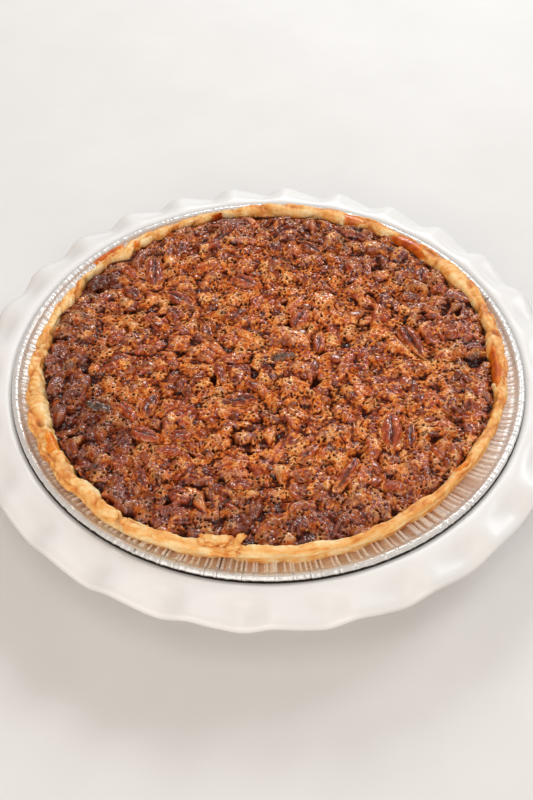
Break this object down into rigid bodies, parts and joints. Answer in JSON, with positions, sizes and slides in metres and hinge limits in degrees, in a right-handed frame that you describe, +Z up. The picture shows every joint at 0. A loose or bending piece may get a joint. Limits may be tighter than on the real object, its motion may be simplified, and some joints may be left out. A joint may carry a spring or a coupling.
{
  "type": "pecan pie in a foil tin and a ruffled dish",
  "caption": "Whole baked pecan pie with a thin pastry rim and a chopped pecan top, in its foil tin inside a white ruffled pie dish.",
  "frame": {"origin": "centre of the pie dish's flat base, where it rests", "axes": "+Z up through the top of the pie; -Y is the front of the pie; +X is to the right seen from the front"},
  "size_m": [0.2847, 0.2852, 0.0486],
  "materials": {
    "glazed_ceramic": "white gloss glaze",
    "foil": "bright thin foil with fine pressed flutes",
    "baked_crust": "golden baked pastry, dry and slightly blistered",
    "baked_filling": "baked caramel foam with pores, part matt and part glossy",
    "toasted_pecan": "dark toasted nut skin under a thin syrup"
  },
  "bodies": {
    "root": {"dish": "glazed_ceramic", "tin": "foil", "crust": "baked_crust", "filling": "baked_filling", "pecan_01": "toasted_pecan", "pecan_02": "toasted_pecan", "pecan_03": "toasted_pecan", "pecan_04": "toasted_pecan", "pecan_05": "toasted_pecan", "pecan_06": "toasted_pecan", "pecan_07": "toasted_pecan", "pecan_08": "toasted_pecan", "pecan_09": "toasted_pecan", "pecan_10": "toasted_pecan", "pecan_11": "toasted_pecan", "pecan_12": "toasted_pecan", "pecan_13": "toasted_pecan", "pecan_14": "toasted_pecan", "pecan_15": "toasted_pecan", "pecan_16": "toasted_pecan", "pecan_17": "toasted_pecan", "pecan_18": "toasted_pecan", "pecan_19": "toasted_pecan", "pecan_20": "toasted_pecan", "pecan_21": "toasted_pecan", "pecan_22": "toasted_pecan", "pecan_23": "toasted_pecan", "pecan_24": "toasted_pecan", "pecan_25": "toasted_pecan", "pecan_26": "toasted_pecan", "pecan_27": "toasted_pecan", "pecan_28": "toasted_pecan", "pecan_29": "toasted_pecan", "pecan_30": "toasted_pecan", "pecan_31": "toasted_pecan", "pecan_32": "toasted_pecan", "pecan_33": "toasted_pecan", "pecan_34": "toasted_pecan", "pecan_35": "toasted_pecan", "pecan_36": "toasted_pecan"}
  },
  "joints": []
}
